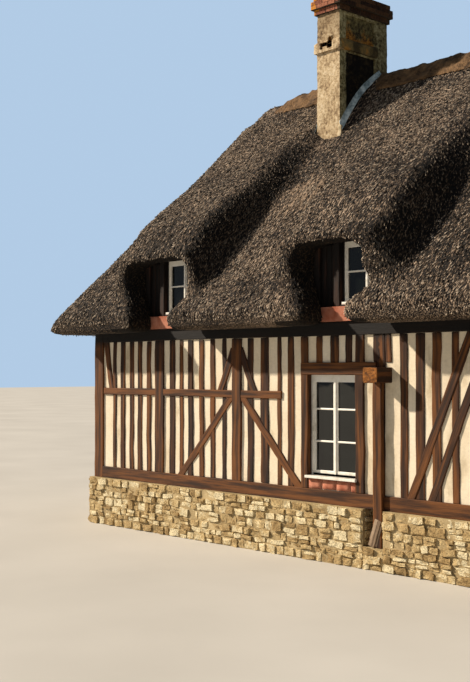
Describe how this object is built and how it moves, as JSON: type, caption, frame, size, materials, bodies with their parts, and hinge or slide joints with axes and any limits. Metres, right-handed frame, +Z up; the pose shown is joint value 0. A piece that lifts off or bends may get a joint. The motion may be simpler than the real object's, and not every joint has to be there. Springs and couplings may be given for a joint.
{
  "type": "thatched half-timbered cottage",
  "caption": "Long low half-timbered cottage on a rubble plinth, with a hipped thatched roof swept over dormer windows and a rendered chimney with a brick cap.",
  "frame": {"origin": "on the ground at the centre of the whole cottage's plan", "axes": "+X along the house to the right as seen from the front, -Y out of the front with the dormers, +Z up"},
  "size_m": [11.9, 7.1, 7.95],
  "materials": {
    "stone": "rubble limestone in lime mortar",
    "floor": "worn clay and lime floor",
    "boards": "plain sawn boards",
    "timber": "weathered oak, oiled red-brown",
    "plaster": "lime plaster on lath, hand-floated",
    "paint": "white gloss paint on softwood",
    "glass": "clear window glass",
    "terracotta": "terracotta tile and render",
    "thatch": "weathered water reed",
    "clay": "clay ridge, weathered brown",
    "render": "worn lime render over brick",
    "brick": "soft red brick with lichen",
    "lead": "weathered lead sheet"
  },
  "bodies": {
    "root": {"front_plinth_left": "stone", "front_plinth_right": "stone", "back_plinth": "stone", "left_plinth": "stone", "right_plinth": "stone", "door_step": "stone", "ground_floor": "floor", "attic_floor": "boards", "front_frame": "timber", "back_frame": "timber", "left_frame": "timber", "right_frame": "timber", "front_plaster": "plaster", "back_plaster": "plaster", "left_plaster": "plaster", "right_plaster": "plaster", "left_beam": "timber", "middle_beam": "timber", "right_beam": "timber", "beam_post": "timber", "front_door": "boards", "front_window_casement": "paint", "front_window_glass": "glass", "back_left_window_casement": "paint", "back_left_window_glass": "glass", "back_right_window_casement": "paint", "back_right_window_glass": "glass", "dormer_1_frame": "timber", "dormer_1_casement": "paint", "dormer_1_glass": "glass", "dormer_1_apron": "terracotta", "dormer_2_frame": "timber", "dormer_2_casement": "paint", "dormer_2_glass": "glass", "dormer_2_apron": "terracotta", "dormer_3_frame": "timber", "dormer_3_casement": "paint", "dormer_3_glass": "glass", "dormer_3_apron": "terracotta", "roof_frame": "timber", "front_thatch": "thatch", "back_thatch": "thatch", "left_hip_thatch": "thatch", "right_hip_thatch": "thatch", "left_ridge_clay": "clay", "right_ridge_clay": "clay", "chimney_stack": "render", "chimney_cap": "brick", "chimney_flashing": "lead"}
  },
  "joints": []
}
